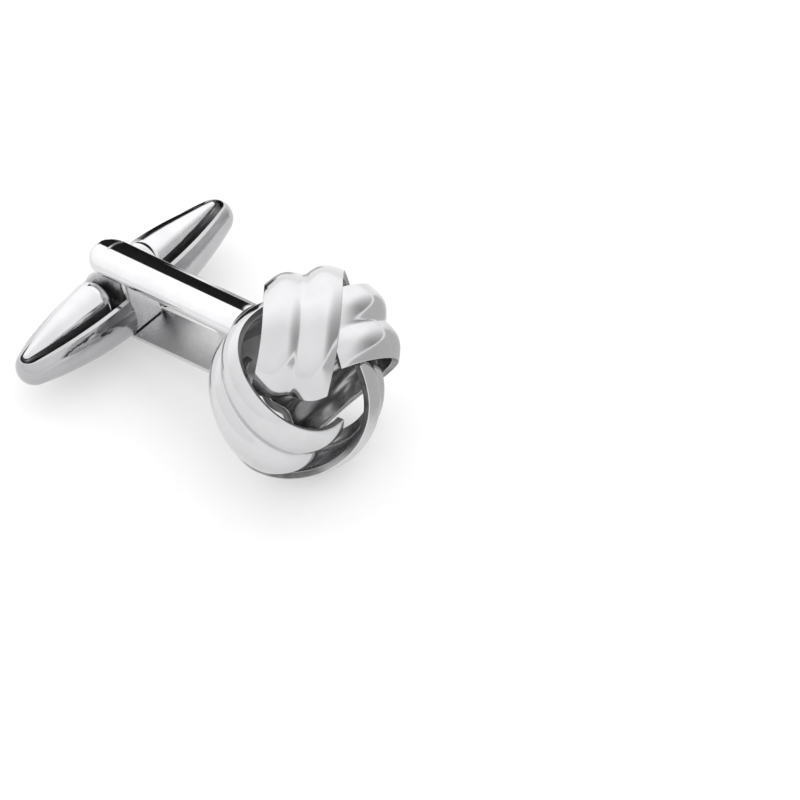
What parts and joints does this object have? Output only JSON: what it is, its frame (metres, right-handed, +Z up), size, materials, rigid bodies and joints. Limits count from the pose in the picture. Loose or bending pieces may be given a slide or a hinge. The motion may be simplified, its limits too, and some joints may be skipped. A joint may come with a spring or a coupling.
{
  "type": "love-knot cufflink",
  "caption": "Cufflink with a hollow love knot of ridged metal strips on a forked post, and a torpedo toggle that swivels on a pin to lock it in the cuff.",
  "frame": {"origin": "on the table, under the middle of the link's bounding box, as the link lies on its knot and lower leg", "axes": "+X along the post from the toggle to the knot, seen from above; +Y along the toggle at rest; +Z up"},
  "size_m": [0.023, 0.0196, 0.0139],
  "materials": {
    "polished_plate": "mirror-polished white plating over base metal",
    "pin_steel": "turned and plated",
    "spring_steel": "rolled spring strip"
  },
  "bodies": {
    "link": {"knot_strip_1": "polished_plate", "knot_strip_2": "polished_plate", "knot_strip_3": "polished_plate", "knot_strip_4": "polished_plate", "knot_seat": "polished_plate", "bracket": "polished_plate", "hinge_pin": "pin_steel"},
    "toggle": {"toggle_boat": "polished_plate", "toggle_bullet_left": "polished_plate", "toggle_bullet_right": "polished_plate", "toggle_hub": "polished_plate", "click_spring": "spring_steel"}
  },
  "joints": [
    {"name": "toggle_swivel", "type": "hinge", "parent": "link", "child": "toggle", "pos_m": [-0.00901, 0, 0.00335], "axis": [-0.2236, 0, 0.9747], "range_deg": [-90, 90]}
  ]
}
